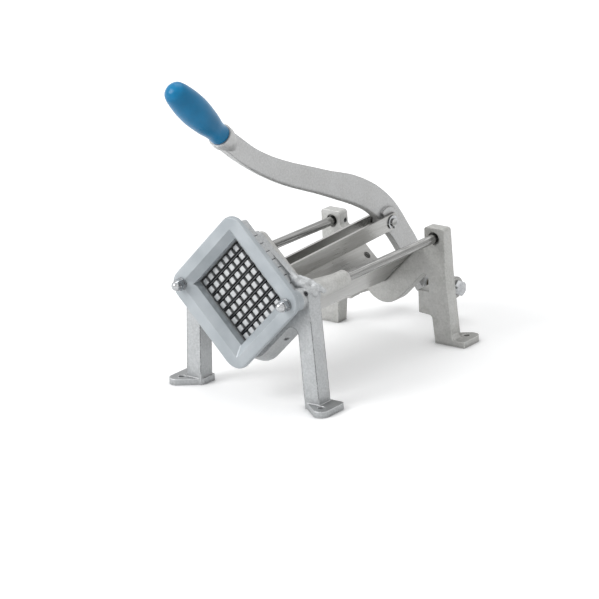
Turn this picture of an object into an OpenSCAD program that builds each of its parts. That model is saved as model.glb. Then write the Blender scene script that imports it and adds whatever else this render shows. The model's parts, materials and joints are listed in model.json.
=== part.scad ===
// French fry cutter: a bench-mounted lever press that drives a potato through a square blade grid.
// Frame: +Y runs from the grid to the lever pivot, +X to the operator's right when facing the grid
// from the front, +Z up. The origin is the centre of the four bench bolts, at bench level.
// The grid stands on one corner, so its sides lie at 45 degrees to the bench.

/* [Blade grid] */
// Pitch of the blades, which is the side of one fry
cut = 9.525; // [9:0.005:10.5]
// Fries along one side of the grid
cells = 8; // [7:1:9]
// Thickness of a blade
blade_t = 0.6; // [0.4:0.1:0.9]
// Width of a blade, from cutting edge to back
blade_w = 6.35; // [5:0.05:6.6]
// Length of the ground bevel at a cutting edge
blade_bevel = 1.5; // [0.8:0.1:2]
// Gap between the two layers of blades
blade_gap = 0.1; // [0.05:0.05:0.4]
// Clearance round a blade in its slot
slot_clear = 0.12; // [0.08:0.01:0.2]

/* [Bench bolts] */
// Spacing of the bench bolts across the cutter
foot_pitch_x = 173; // [168:1:184]
// Spacing of the bench bolts along the cutter
foot_pitch_y = 243; // [230:1:270]
// Diameter of a bench bolt hole
foot_hole_d = 7; // [5:0.5:9]
// Thickness of a foot pad
foot_t = 6.5; // [5:0.5:9]
// Height of the cutting axis above the bench
axis_h = 111; // [106:1:135]

/* [Front frame] */
// Front face of the ring, ahead of the front bench bolts
front_set = 2.5; // [0.5:0.5:5]
// Depth of the ring that holds the blades
ring_depth = 16; // [15.5:0.5:17]
// Depth of the ring at its top corner
plate_depth = 9.2; // [9:0.1:11]
// Distance of the front blades behind the ring's front face
blade_set = 2.5; // [1.5:0.1:2.5]
// Wall of the ring beside the window
ring_wall = 11; // [9:0.5:13]
// Rise of the fillet from a side of the ring to the rod boss
rail_rise = 5; // [2:0.5:6]
// Start of the leg web, behind the ring's front face
web_set = 5.5; // [4:0.5:7]
// Thickness of the leg web
front_web = 17.5; // [15:0.5:20]
// Outer radius of a rod boss
rod_boss_r = 10.5; // [9.5:0.5:12]
// Length of a rod boss, from the ring's front face
rod_boss_len = 25.5; // [23:0.5:30]
// Width of a front leg
front_leg_w = 18; // [15:0.5:20]
// Width of the V flange that carries the trough's front end, at its back
front_flange = 24.2; // [22:0.1:26]
// Width of that flange at its front
flange_near = 17.5; // [15:0.1:20]
// Radius of that flange's lowest corner
front_round = 28; // [20:1:32]

/* [Rear frame] */
// Front face of the casting, ahead of the rear bench bolts
rear_set = 20.5; // [18:0.5:24]
// Thickness of the rear casting at the bench
rear_web = 15; // [13:0.5:17]
// Thickness of the rear casting at the post tops
rear_top = 12; // [11:0.5:13]
// Width of a rear post
post_w = 24; // [22:0.5:26]
// Height of a post above the rod axis
post_top = 11; // [10:0.5:14]
// Width of a rear leg at the bench
rear_leg_w = 21.5; // [18:0.5:24]
// Width of the V flange that carries the trough's rear end
rear_flange = 22.8; // [20:0.1:25]
// Radius of that flange's lowest corner
rear_round = 26; // [15:1:35]
// Distance from the middle to an arm where it leaves the leg
arm_root = 43; // [41:0.5:45]
// Distance of an arm's root below the cutting axis
lug_drop = 69; // [67:0.5:70]
// Width of the arm that reaches back from a leg to the lever pivot
arm_w = 13; // [11:0.5:14]
// Depth of an arm where it leaves the leg
arm_h = 24; // [20:0.5:26]
// Half of the space between the arms at the pivot
arm_gap = 27; // [22:0.5:30]
// Radius of an arm's round end
arm_end_r = 11.5; // [11:0.5:13]
// Distance of the lever pivot behind the rear casting's front face
pivot_back = 71.5; // [66:0.5:80]
// Distance of the lever pivot below the cutting axis
pivot_drop = 76; // [72:0.5:82]

/* [Guide rods] */
// Diameter of a guide rod
rod_d = 9.5; // [8:0.25:10]
// Distance from the window's side corner out to the rod axis
rod_out = 10.1; // [9.5:0.1:12]
// Diameter of the threaded front end of a rod
thread_d = 7.9; // [6:0.1:7.9]
// Diameter of the recess round a rod in the rear post
rod_recess_d = 13; // [11:0.5:15]
// Diameter of a set screw
set_screw_d = 5; // [4:0.5:6]

/* [Cover] */
// Thickness of the cover
cover_t = 14.8; // [12:0.2:17]
// Width of the cover's rim beside the window, on the sides that rise to the right
cover_wall = 19.4; // [19:0.2:21]
// How much wider the rim is on the sides that fall to the right
cover_extra = 2.5; // [0:0.5:4]
// Thickness of the cover at its rim
cover_rim = 5; // [4:0.5:7]
// How far the cover's sides slope in from the rim to its back
cover_slope = 7.5; // [4:0.5:8]
// Radius of the cover's corners
cover_r = 16; // [10:0.5:18]
// Width of the funnel's slope round the window
funnel_w = 7.9; // [5:0.1:9]
// Depth of the funnel
funnel_d = 7; // [4:0.5:9]
// Diameter of a cover washer
washer_d = 12.5; // [11:0.5:14]
// Width across the flats of a cover nut
cap_af = 10.5; // [9:0.1:12]

/* [Trough] */
// Thickness of the trough's sheet
sheet_t = 1.5; // [1:0.1:2]
// Inside radius of the trough's fold
fold_r = 3; // [2:0.5:5]
// Distance of the wings' upper edges below the rod axis
wing_drop = 10; // [9:0.5:16]
// Length of the trough behind the rear casting's front face
trough_back = 12.5; // [10:0.5:14]
// Diameter of a trough screw
trough_screw_d = 4; // [3:0.5:4]

/* [Pusher] */
// Running clearance between the pusher block and the trough
block_clear = 0.8; // [0.5:0.1:1.5]
// Clearance between a peg and the blades beside it
peg_clear = 1.6; // [0.5:0.05:1.8]
// Length of a peg
peg_len = 18.5; // [17.5:0.5:20]
// Distance of the peg ends ahead of the front edges of the blades, with the lever forward
peg_ahead = 1.5; // [0.5:0.5:3]
// Thickness of the pusher block behind its pegs
block_t = 8; // [6:0.5:9]
// Thickness of the carriage behind the block
carriage_t = 7; // [6:0.5:9]
// Outer radius of a carriage ear
ear_r = 9; // [8.5:0.25:10]
// Length of a carriage ear
ear_len = 52.5; // [44:0.5:57]
// Outer diameter of a slide bush
bush_d = 12.5; // [11.5:0.25:13]
// Diameter of the pin that joins the links to the pusher
pusher_pin_d = 8; // [6:0.5:9]
// Distance of that pin behind the carriage's plate
pusher_pin_back = 16; // [13:0.5:24]
// Thickness of a cheek that holds that pin
cheek_t = 6; // [5:0.5:8]

/* [Links] */
// Thickness of a link
link_t = 3; // [2:0.25:3.5]
// Width of a link
link_w = 16.5; // [14:0.5:18]
// Length of a link beyond its lever pin
link_end = 8; // [7:0.5:10]
// Side clearance between a link and its neighbours
link_gap = 0.4; // [0.3:0.05:0.6]

/* [Lever] */
// Thickness of the lever arm
lever_t = 8; // [6:0.5:10]
// Radius of the lever's hub
hub_r = 11; // [10:0.5:13]
// Half length of the lever's hub
hub_half = 6; // [4:0.5:14]
// Distance of the link pin ahead of the pivot
crank_fwd = 67.5; // [62:0.5:70]
// Height of the link pin above the pivot
crank_up = 84.3; // [80:0.5:88]
// Diameter of the link pin on the lever
link_pin_d = 8; // [6:0.5:9]
// Radius of the boss round the link pin
pin_boss_r = 12; // [10:0.5:13]
// Half length of that boss
pin_boss_half = 7; // [5.5:0.5:8]
// Diameter of the pivot bolt
pivot_d = 9.5; // [8:0.5:10]
// Outer diameter of the pivot bush
pivot_bush_d = 12.5; // [11.5:0.5:14]
// Radius of the round collar at the lever's end
collar_r = 10.8; // [9.5:0.1:12]
// Length of that collar
collar_len = 7; // [4:0.5:10]

/* [Grip] */
// Length of the grip
grip_len = 88; // [80:1:100]
// Greatest radius of the grip
grip_r = 13.5; // [12:0.1:16]
// Radius of the grip's neck
neck_r = 8.9; // [7.5:0.1:10]
// Diameter of the tang inside the grip
tang_d = 9; // [7:0.5:10]

/* [Hidden] */

// General shares of the geometry
fit = 0.05;
play = 0.3;
eps = 0.01;
through = 400;
root2 = sqrt(2);
arc_steps = 7;
spine_steps = 7;
$fn = 48;

// Window, square to its own sides and standing on a corner
window = cut * cells;
half = window / 2;
corner = half * root2;
seat = half + sheet_t;
ring_half = half + ring_wall;
rail_top = ring_half + rail_rise;
cover_half = half + cover_wall;
rod_x = corner + rod_out;

// Stations along Y
front_y = -foot_pitch_y / 2 - front_set;
rear_y = foot_pitch_y / 2 - rear_set;
blade_y = front_y + blade_set;
back_blade_y = blade_y + blade_w + blade_gap;
layer_y = back_blade_y - blade_gap / 2;
ring_back = front_y + ring_depth;
plate_back = front_y + plate_depth;
web_y = front_y + web_set;
web_back = web_y + front_web;
boss_back = front_y + rod_boss_len;
cover_back = front_y;
cover_y = cover_back - cover_t;
peg_y = blade_y - peg_ahead;
block_y = peg_y + peg_len;
carriage_y = block_y + block_t;
ear_y = boss_back + 0.5;
trough_y = ring_back + play;
trough_end = rear_y + trough_back;
foot_x = foot_pitch_x / 2;
front_foot_y = -foot_pitch_y / 2;
rear_foot_y = foot_pitch_y / 2;

// Pivots, as [y, z] measured from the cutting axis
pivot = [rear_y + pivot_back, -pivot_drop];
link_pin_at = pivot + [-crank_fwd, crank_up];
pusher_pin_at = [carriage_y + carriage_t + pusher_pin_back, 0];
link_len = norm(link_pin_at - pusher_pin_at);
link_tilt = atan2(link_pin_at[1] - pusher_pin_at[1], link_pin_at[0] - pusher_pin_at[0]);
link_x = pin_boss_half + link_gap;
cheek_x = link_x + link_t + 2 * link_gap + 1;
arm_x = arm_gap + arm_w - 1;

// Castings: flanges, legs, rails, posts and arms
rear_v = seat + rear_flange;
front_v = seat + front_flange;
near_v = seat + flange_near;
rear_leg_x = foot_x - 3;
front_leg_x = foot_x - 3.7;
front_leg_in = front_leg_x - front_leg_w - 4.8;
front_bend = 20;
leg_fillet = 7.5;
post_bend = 40;
post_x = rod_x - post_w / 2 + 1;
rail_start = -cut;
rail_end = rod_x / root2;
flange_lip = 3;
slot_len = 2 * rail_top + 2;
slot_w = blade_t + 2 * slot_clear;
blade_len = 2 * ring_half - 1;
lug_z = -lug_drop;
lug_out = arm_root + arm_w;
arm_boss_t = 1.5;
arm_boss_r = 10.5;
arm_face = arm_x + arm_boss_t;
foot_r = 8;
foot_edge = 1.6 * foot_hole_d;

// Cover, rods and their fastenings
rim_round = 2.5;
washer_t = 1.5;
funnel_side = rod_x - washer_d / 2 + 1.7;
cap_hex_h = 6;
cap_neck_h = 0.8;
cap_dome_r = cap_af * 0.46;
thread_out = 7;
rod_shoulder = front_y + 2;
rod_end = rear_y + rear_top;
rod_recess_t = 2.5;
set_screw_len = 6;
socket_from = rod_d / 2 + set_screw_len - 2;
socket_to = rod_d / 2 + set_screw_len + 1;
front_screw_y = front_y + 1.1 * set_screw_d;
front_screw_lean = 53;
rear_screw_y = rear_y + 1.7 * set_screw_d;
front_trough_screw_y = trough_y + 1.1 * trough_screw_d;
rear_trough_screw_y = rear_y + 0.75 * trough_screw_d;
trough_screw_at = 6.4;
trough_head_h = 2;
trough_screw_len = 12;

// Pusher
block_half = half - block_clear;
peg_w = cut - blade_t - 2 * peg_clear;
carriage_back = carriage_y + carriage_t;
cheek_r = 10;
shoe_t = 4;
shoe_end = pusher_pin_at[0] + cheek_r + shoe_t;
shoe_drop = 16;
carriage_r = 8;
ear_round = 3;
web_in = 13;
web_x = block_half * root2 - web_in;
web_front = max(ear_y, carriage_y);
web_half = 5;
bush_len = 16;
block_screw_at = block_half * 0.6;
block_screw_d = 5;
block_screw_len = 12;
pin_head_h = 5;

// Lever
pivot_head_h = 6;
pivot_nut_h = 8;
clip_x = link_x + link_t + link_gap;
clip_t = 1;
groove_r = link_pin_d * 0.4;
pin_half = clip_x + clip_t + 1.6;
tang_share = 0.8;

// Grip radii: [share of the length, share of the way from the neck's radius to the belly's]
grip_shares = [[0, -0.06], [0.02, 0], [0.126, 0.03], [0.257, 0.5], [0.4, 0.83], [0.53, 1], [0.67, 0.93],
    [0.78, 0.72], [0.87, 0.46], [0.934, 0.13], [0.96, -0.17], [0.985, -0.6], [0.995, -0.95]];
grip_profile = curve_through([for (p = grip_shares)
    [neck_r + p[1] * (p[1] < 0 ? neck_r * 0.72 : grip_r - neck_r), p[0] * grip_len]], 4);

// Lever spine from the pivot to the grip: [y, z, width] measured from the pivot
spine = [[0, 0, 2 * hub_r - 3], [-9, 14.5, 24], [-19, 29, 27], [-38, 59, 26],
    [-crank_fwd - 3, crank_up + 11, 26], [-112, 126.5, 25.5], [-162, 147, 22], [-222, 171.5, 19.5],
    [-271, 199, 17.4], [-311, 228, 17.2], [-317.4, 234, 17.2]];
grip_tilt = 137.6;
collar_taper = 19;
grip_at = [spine[len(spine) - 1][0], spine[len(spine) - 1][1]];

// Direction of a vector, and a point on the arc that rounds a corner
function unit(v) = v / norm(v);
function on_arc(c, r, angle) = c + r * [cos(angle), sin(angle)];

// Arc of radius r that rounds corner p of the path a, p, b
function corner_arc(a, p, b, r) =
    let (
        u = unit(a - p),
        v = unit(b - p),
        half_turn = acos(u * v) / 2,
        c = p + unit(u + v) * r / sin(half_turn),
        s = p + u * r / tan(half_turn) - c,
        e = p + v * r / tan(half_turn) - c,
        sweep = atan2(s[0] * e[1] - s[1] * e[0], s * e),
        first = atan2(s[1], s[0])
    )
    [for (i = [0 : arc_steps]) on_arc(c, r, first + sweep * i / arc_steps)];

// Outline from corners given as [x, y, radius]
function rounded(corners) =
    let (n = len(corners))
    [for (i = [0 : n - 1])
        let (
            a = corners[(i + n - 1) % n],
            p = corners[i],
            b = corners[(i + 1) % n]
        )
        each p[2] > 0
            ? corner_arc([a[0], a[1]], [p[0], p[1]], [b[0], b[1]], p[2])
            : [[p[0], p[1]]]];

// Corners of an outline that is the same left and right, from its right-hand ones
function both_sides(right) =
    concat(right, [for (i = [len(right) - 1 : -1 : 0])
        let (p = right[i])
        if (p[0] > 0) [-p[0], p[1], p[2]]]);

// Point at t on the smooth curve through p1 and p2
function smooth(p0, p1, p2, p3, t) =
    0.5 * (2 * p1 + (p2 - p0) * t + (2 * p0 - 5 * p1 + 4 * p2 - p3) * t * t
        + (3 * p1 - p0 - 3 * p2 + p3) * t * t * t);

// Smooth curve through every point of a list
function curve_through(points, steps) =
    let (n = len(points))
    [for (i = [0 : n - 2], k = [0 : steps - (i < n - 2 ? 1 : 0)])
        smooth(points[max(i - 1, 0)], points[i], points[i + 1], points[min(i + 2, n - 1)], k / steps)];

// Outline on both sides of a spine whose points carry their width
function widened(path) =
    let (
        n = len(path),
        side = [for (i = [0 : n - 1])
            let (
                a = path[max(i - 1, 0)],
                b = path[min(i + 1, n - 1)],
                d = unit([b[0] - a[0], b[1] - a[1]])
            )
            [-d[1], d[0]] * path[i][2] / 2]
    )
    concat(
        [for (i = [0 : n - 1]) [path[i][0], path[i][1]] + side[i]],
        [for (i = [n - 1 : -1 : 0]) [path[i][0], path[i][1]] - side[i]]);

// Children drawn in the XZ plane and extruded from y = from to y = to, about the cutting axis
module slab(from, to) {
    translate([0, to, axis_h]) rotate([90, 0, 0]) linear_extrude(to - from) children();
}

// Children drawn in the YZ plane and extruded from x = from to x = to, about the cutting axis
module plank(from, to) {
    translate([from, 0, axis_h]) rotate([90, 0, 90]) linear_extrude(to - from) children();
}

// Cylinder along Y, at x and z from the cutting axis
module rod_y(from, to, r, x = 0, z = 0) {
    translate([x, to, axis_h + z]) rotate([90, 0, 0]) cylinder(h = to - from, r = r);
}

// Cylinder along X, at a pivot given as [y, z] from the cutting axis
module rod_x_axis(from, to, r, at) {
    translate([from, at[0], axis_h + at[1]]) rotate([0, 90, 0]) cylinder(h = to - from, r = r);
}

// Square that stands on a corner, of half side h, with its corners rounded by r, the top one by top_r;
// wide makes it wider across the sides that fall to the right
module diamond(h, r = 0, top_r = -1, wide = 0) {
    w = h + wide;
    rotate(45) polygon(rounded([[w, h, top_r < 0 ? r : top_r], [-w, h, r], [-w, -h, r], [w, -h, r]]));
}

// Right and left copies
module pair() {
    children();
    mirror([1, 0, 0]) children();
}

// Blades are numbered from the grid's middle: offset of blade k
function blade_at(k) = (k - cells / 2) * cut;

// Bar that lies across the grid at 45 degrees: lean = 1 rises to the right, -1 falls to the right
module grid_bar(lean, offset, length, thickness, from, to) {
    translate([0, to, axis_h]) rotate([90, 0, 0]) rotate(45 * lean)
        translate([-length / 2, offset - thickness / 2, 0]) cube([length, thickness, to - from]);
}

// Foot pad at a bench bolt, side = -1 for the front feet and 1 for the rear ones
module foot_pad(y, side, inner, leg_front, leg_back) {
    near = side > 0 ? leg_front - 3 : leg_back + 3;
    far = y + side * foot_edge;
    outer = foot_x + foot_edge;
    linear_extrude(foot_t)
        polygon(rounded([
            [inner, near, 2],
            [outer, near, 4],
            [outer, far, foot_r],
            [foot_x, far, 5],
            [inner, side > 0 ? leg_back : leg_front, 3]]));
}

// Right-hand half of the rear casting's outline, from its lowest corner round to the trough's notch
function rear_outline() = [
    [0, -rear_v * root2, rear_round],
    [lug_out, lug_out - rear_v * root2, 5],
    [lug_out, lug_z + arm_h / 2, 0.5],
    [arm_root, lug_z + arm_h / 2, 1.5],
    [arm_root, lug_z - arm_h / 2, 2],
    [lug_out + 3, lug_z - arm_h / 2 - 1, 4],
    [rear_leg_x - rear_leg_w, -axis_h, 0],
    [rear_leg_x, -axis_h, 0],
    [post_x + post_w, -post_bend, 100],
    [post_x + post_w, post_top, 3],
    [post_x, post_top, 3],
    [post_x, post_x - seat * root2, 2],
    [0, -seat * root2, fold_r]];

// The same for the front casting: v is the V's distance from the middle, r its corner radius
function front_outline(v, r, fillet) = [
    [0, -v * root2, r],
    [front_leg_in, front_leg_in - v * root2, fillet],
    [front_leg_x - front_leg_w, -axis_h, 0],
    [front_leg_x, -axis_h, 0],
    [rod_x + rod_boss_r + 2, -front_bend, 40],
    [rod_x + rod_boss_r, rod_boss_r, rod_boss_r - 1],
    [rod_x - rod_boss_r, rod_boss_r, 4],
    [rod_x - rod_boss_r, rod_x - rod_boss_r - seat * root2, 2],
    [0, -seat * root2, fold_r]];

// Legs and V flange of the front casting; the flange flares out from its front to its back
module front_web_body() {
    slab(web_y, web_back) polygon(rounded(both_sides(front_outline(near_v, front_round - 2, leg_fillet))));
    intersection() {
        slab(web_y, web_back) polygon(rounded(both_sides(front_outline(front_v, front_round, 4))));
        hull() {
            slab(web_y, web_y + 1) diamond(near_v, front_round - 2);
            slab(web_back - 1, web_back + 1) diamond(front_v, front_round);
        }
    }
    // Lip under the trough's front end
    slab(web_back - 1, web_back + flange_lip) polygon([
        [0, -seat * root2],
        [half, half - seat * root2],
        [half, half - near_v * root2],
        [0, -near_v * root2 + front_round / 2],
        [-half, half - near_v * root2],
        [-half, half - seat * root2]]);
}

// Ring round the window: full depth beside the blades and thinner at its top corner
module ring() {
    difference() {
        slab(front_y, ring_back) diamond(ring_half, 4);
        translate([-ring_half, plate_back, axis_h + corner + 1])
            cube([2 * ring_half, ring_depth, ring_half]);
    }
}

// Fillet behind the front blades, from a side of the ring up to the rod boss
module rail() {
    slab(plate_back, ring_back) rotate(-45) polygon([
        [rail_start, ring_half - 1],
        [rail_start, ring_half],
        [rail_end, rail_top],
        [rail_end, ring_half - 1]]);
}

// Holes for the set screws that bite on the rods, one to each end of a rod
module front_screw_axis(from, to, r) {
    translate([rod_x, front_screw_y, axis_h]) rotate([0, front_screw_lean, 0])
        translate([0, 0, from]) cylinder(h = to - from, r = r);
}
module rear_screw_axis(from, to, r) {
    translate([rod_x, rear_screw_y, axis_h]) rotate([0, -90, 0])
        translate([0, 0, from]) cylinder(h = to - from, r = r);
}

// Axis of a trough screw, square to the wing, with z = 0 on the wing's inner face
module on_wing(y) {
    translate([0, y, axis_h]) rotate([0, 135, 0]) translate([trough_screw_at, 0, half]) children();
}
module trough_screw_shape() {
    cylinder(h = trough_screw_len, r = trough_screw_d / 2);
    cylinder(h = trough_head_h, r1 = trough_screw_d, r2 = trough_screw_d / 2);
}

module front_frame() {
    color("#b9b9b5")
    difference() {
        union() {
            ring();
            front_web_body();
            pair() {
                rail();
                rod_y(front_y, boss_back, rod_boss_r, rod_x);
            }
            pair() foot_pad(front_foot_y, -1, front_leg_x - front_leg_w - 2, web_y + 3, web_back);
        }
        slab(front_y - 1, ring_back + 1) diamond(half);
        for (k = [1 : cells - 1]) {
            grid_bar(1, blade_at(k), slot_len, slot_w, blade_y - fit, layer_y);
            grid_bar(-1, blade_at(k), slot_len, slot_w, layer_y, back_blade_y + blade_w + fit);
        }
        pair() {
            rod_y(front_y - 1, boss_back + 1, rod_d / 2 + fit, rod_x);
            front_screw_axis(rod_d / 2, 40, set_screw_d / 2);
            translate([foot_x, front_foot_y, -1]) cylinder(h = foot_t + 2, r = foot_hole_d / 2);
            on_wing(front_trough_screw_y) trough_screw_shape();
        }
    }
}

// Outline of the cover, at a distance inside its rim
module cover_face(inside) {
    diamond(cover_half - inside, cover_r, wide = cover_extra);
}

module front_cover() {
    color("#aeb8c0")
    difference() {
        union() {
            hull() {
                slab(cover_y + rim_round, cover_y + cover_rim) cover_face(0);
                slab(cover_y + rim_round * 0.3, cover_y + cover_rim) cover_face(rim_round * 0.3);
                slab(cover_y, cover_y + cover_rim) cover_face(rim_round);
            }
            hull() {
                slab(cover_y + rim_round, cover_y + cover_rim) cover_face(rim_round);
                slab(cover_y + rim_round, cover_back) cover_face(cover_slope);
            }
            pair() rod_y(cover_y + rim_round, cover_back, rod_boss_r, rod_x);
        }
        hull() {
            slab(cover_y - eps, cover_y) intersection() {
                diamond(half + funnel_w, 2);
                square([2 * funnel_side, 4 * half], center = true);
            }
            slab(cover_y + 2 * funnel_d, cover_y + 2 * funnel_d + 1) diamond(half - funnel_w);
        }
        slab(cover_y - 1, cover_back + 1) diamond(half);
        pair() rod_y(cover_y - 1, cover_back + 1, thread_d / 2 + 3 * fit, rod_x);
    }
}

module cover_washers() {
    color("silver")
    pair() difference() {
        rod_y(cover_y - washer_t, cover_y, washer_d / 2, rod_x);
        rod_y(cover_y - washer_t - 1, cover_y + 1, thread_d / 2 + 3 * fit, rod_x);
    }
}

module cover_nuts() {
    color("gainsboro")
    pair() translate([rod_x, cover_y - washer_t, axis_h]) rotate([90, 0, 0]) difference() {
        union() {
            hex_body(cap_af, cap_hex_h);
            translate([0, 0, cap_hex_h - 1]) cylinder(h = cap_neck_h + 1, r = cap_dome_r);
            translate([0, 0, cap_hex_h + cap_neck_h]) sphere(r = cap_dome_r);
        }
        translate([0, 0, -1]) cylinder(h = thread_out + 1, r = thread_d / 2);
    }
}

// Blade across the grid, sharpened on the edge that meets the potato
module blade(lean, offset, y) {
    translate([0, y, axis_h]) rotate([0, -45 * lean, 0]) translate([-blade_len / 2, 0, offset])
        rotate([90, 0, 90]) linear_extrude(blade_len)
            polygon([
                [0, -blade_t / 2],
                [blade_w - blade_bevel, -blade_t / 2],
                [blade_w, 0],
                [blade_w - blade_bevel, blade_t / 2],
                [0, blade_t / 2]]);
}

module front_blades() {
    color("gainsboro")
    for (k = [1 : cells - 1]) blade(1, blade_at(k), blade_y);
}

module rear_blades() {
    color("gainsboro")
    for (k = [1 : cells - 1]) blade(-1, blade_at(k), back_blade_y);
}

module guide_rod() {
    rod_y(rod_shoulder, rod_end, rod_d / 2, rod_x);
    rod_y(cover_y - washer_t - thread_out, rod_shoulder, thread_d / 2, rod_x);
}

module guide_rod_right() {
    color("gainsboro") guide_rod();
}

module guide_rod_left() {
    color("gainsboro") mirror([1, 0, 0]) guide_rod();
}

module rod_set_screws() {
    color("dimgray")
    pair() {
        difference() {
            front_screw_axis(rod_d / 2, rod_d / 2 + set_screw_len, set_screw_d / 2);
            front_screw_axis(socket_from, socket_to, set_screw_d / 4, $fn = 6);
        }
        difference() {
            rear_screw_axis(rod_d / 2, rod_d / 2 + set_screw_len, set_screw_d / 2);
            rear_screw_axis(socket_from, socket_to, set_screw_d / 4, $fn = 6);
        }
    }
}

// Arm that reaches back from a leg to the lever pivot, narrowing towards the lever
module pivot_arm() {
    intersection() {
        linear_extrude(axis_h)
            polygon(rounded([
                [arm_root, rear_y, 0],
                [lug_out, rear_y, 0],
                [lug_out, rear_y + rear_web + 4, 12],
                [arm_x, pivot[0] - arm_end_r - 1, 8],
                [arm_x, pivot[0] + arm_end_r + 1, 0],
                [arm_gap, pivot[0] + arm_end_r + 1, 0],
                [arm_gap, pivot[0] - arm_end_r - 3, 8],
                [arm_root, rear_y + rear_web, 12]]));
        plank(arm_gap - 1, lug_out + 1) union() {
            polygon([
                [rear_y, lug_z + arm_h / 2],
                [rear_y + rear_web, lug_z + arm_h / 2],
                [pivot[0], pivot[1] + arm_end_r - 1],
                [pivot[0], pivot[1]],
                [pivot[0] - arm_end_r, pivot[1] - 1],
                [rear_y + rear_web, lug_z + 1.5 - arm_h / 2],
                [rear_y, lug_z - arm_h / 2]]);
            translate(pivot) circle(r = arm_end_r);
        }
    }
    rod_x_axis(arm_x - 1, arm_x + arm_boss_t, arm_boss_r, pivot);
}

module rear_frame() {
    color("#b4b4b0")
    difference() {
        union() {
            intersection() {
                slab(rear_y, rear_y + rear_web) polygon(rounded(both_sides(rear_outline())));
                plank(-through / 2, through / 2) polygon([
                    [rear_y, -axis_h],
                    [rear_y + rear_web, -axis_h],
                    [rear_y + rear_web, -post_bend],
                    [rear_y + rear_top, post_top],
                    [rear_y, post_top]]);
            }
            pair() pivot_arm();
            pair() foot_pad(rear_foot_y, 1, rear_leg_x - rear_leg_w, rear_y, rear_y + rear_web);
        }
        pair() {
            rod_y(rear_y - 1, rear_y + rear_web + 1, rod_d / 2 + fit, rod_x);
            rod_y(rear_y - 1, rear_y + rod_recess_t, rod_recess_d / 2, rod_x);
            rear_screw_axis(rod_d / 2, 30, set_screw_d / 2);
            translate([foot_x, rear_foot_y, -1]) cylinder(h = foot_t + 2, r = foot_hole_d / 2);
            on_wing(rear_trough_screw_y) trough_screw_shape();
            rod_x_axis(0, through, pivot_d / 2 + fit, pivot);
        }
    }
}

module trough() {
    color("lightgray")
    difference() {
        slab(trough_y, trough_end) polygon(rounded(both_sides([
            [0, -seat * root2, fold_r + sheet_t],
            [seat * root2 - wing_drop, -wing_drop, 0],
            [seat * root2 - wing_drop - sheet_t / root2, sheet_t / root2 - wing_drop, 0],
            [0, -corner, fold_r]])));
        pair() {
            on_wing(front_trough_screw_y) trough_screw_shape();
            on_wing(rear_trough_screw_y) trough_screw_shape();
        }
    }
}

module trough_screws() {
    color("silver")
    pair() for (y = [front_trough_screw_y, rear_trough_screw_y]) on_wing(y) difference() {
        trough_screw_shape();
        for (turn = [0, 90]) rotate(turn)
            translate([-trough_screw_d / 2.4, -trough_screw_d / 10, -1])
                cube([trough_screw_d / 1.2, trough_screw_d / 5, 1 + trough_head_h / 2]);
    }
}

// Hexagon whose far corners are turned off, upwards from the origin and along +X
module hex_body(af, h) {
    intersection() {
        cylinder(h = h, r = af / sqrt(3), $fn = 6);
        cylinder(h = h + af / 2, r1 = af / 2 + h + 0.4, r2 = 0.4);
    }
}
module hex_head(af, h) {
    rotate([0, 90, 0]) hex_body(af, h);
}

module pivot_bolt() {
    color("silver") {
        rod_x_axis(-arm_face - pivot_nut_h - 2, arm_face, pivot_d / 2, pivot);
        translate([arm_face, pivot[0], axis_h + pivot[1]]) hex_head(pivot_d * 1.5, pivot_head_h);
    }
}

module pivot_nut() {
    color("silver")
    difference() {
        translate([-arm_face, pivot[0], axis_h + pivot[1]]) mirror([1, 0, 0])
            hex_head(pivot_d * 1.5, pivot_nut_h);
        rod_x_axis(-arm_face - pivot_nut_h - 1, -arm_face + 1, pivot_d / 2, pivot);
    }
}

// Places of the screws that hold the block to the carriage
module at_block_screws() {
    for (turn = [0 : 3]) translate([0, 0, axis_h]) rotate([0, 45 + 90 * turn, 0])
        translate([block_screw_at, 0, block_screw_at]) children();
}

module pusher_block() {
    color("#c3c7ca")
    difference() {
        union() {
            slab(block_y, carriage_y) diamond(block_half, 2);
            translate([0, block_y + 1, axis_h]) rotate([90, 0, 0]) rotate(45) linear_extrude(peg_len + 1)
                for (i = [0 : cells - 1], j = [0 : cells - 1])
                    translate([blade_at(i + 0.5), blade_at(j + 0.5)]) square(peg_w, center = true);
        }
        at_block_screws() translate([0, carriage_y + 1, 0]) rotate([90, 0, 0])
            cylinder(h = block_screw_len - carriage_t + 1.5, r = block_screw_d / 2 + eps);
    }
}

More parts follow.
